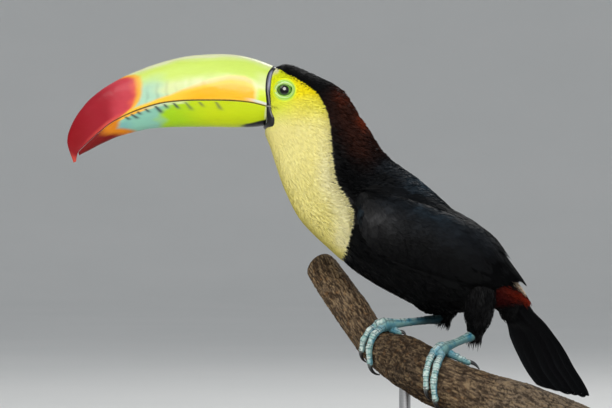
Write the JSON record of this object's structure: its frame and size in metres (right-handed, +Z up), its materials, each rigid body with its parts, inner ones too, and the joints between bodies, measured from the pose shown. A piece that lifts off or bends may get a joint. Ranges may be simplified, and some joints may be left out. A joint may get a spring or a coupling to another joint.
{
  "type": "keel-billed toucan",
  "caption": "Life-size keel-billed toucan gripping a short cut branch, with a large curved bill; rods hold the branch over a round flat base.",
  "frame": {"origin": "centre of the stand's flat underside", "axes": "+Z up, the bird faces -X, its left side faces -Y"},
  "size_m": [0.3663, 0.2, 0.3261],
  "materials": {
    "black_plumage": "black feathers with a faint blue sheen on the back, dark red on the nape and under the tail",
    "yellow_plumage": "pale yellow silky feathers on throat and breast, black crown",
    "bill": "smooth glossy horn, lime green with an orange flash, a deep red tip and pale blue near it",
    "eye": "dark wet eye with a green iris",
    "foot_skin": "pale blue scaled skin",
    "claw": "dark grey horn",
    "bark": "rough grey-brown bark, pale sawn ends",
    "base_wood": "dark stained and waxed hardwood",
    "rod_steel": "turned steel rod"
  },
  "bodies": {
    "root": {"bill_lower": "bill", "bill_upper": "bill", "claw_left_1": "claw", "claw_left_2": "claw", "claw_left_3": "claw", "claw_left_4": "claw", "claw_right_1": "claw", "claw_right_2": "claw", "claw_right_3": "claw", "claw_right_4": "claw", "eye_left": "eye", "eye_right": "eye", "head": "yellow_plumage", "neck": "yellow_plumage", "perch_branch": "bark", "shank_left": "foot_skin", "shank_right": "foot_skin", "stand_base": "base_wood", "stand_rod_1": "rod_steel", "stand_rod_2": "rod_steel", "tail": "black_plumage", "thigh_left": "black_plumage", "thigh_right": "black_plumage", "toe_left_1": "foot_skin", "toe_left_2": "foot_skin", "toe_left_3": "foot_skin", "toe_left_4": "foot_skin", "toe_right_1": "foot_skin", "toe_right_2": "foot_skin", "toe_right_3": "foot_skin", "toe_right_4": "foot_skin", "trunk": "black_plumage", "wing_left": "black_plumage", "wing_right": "black_plumage"}
  },
  "joints": []
}
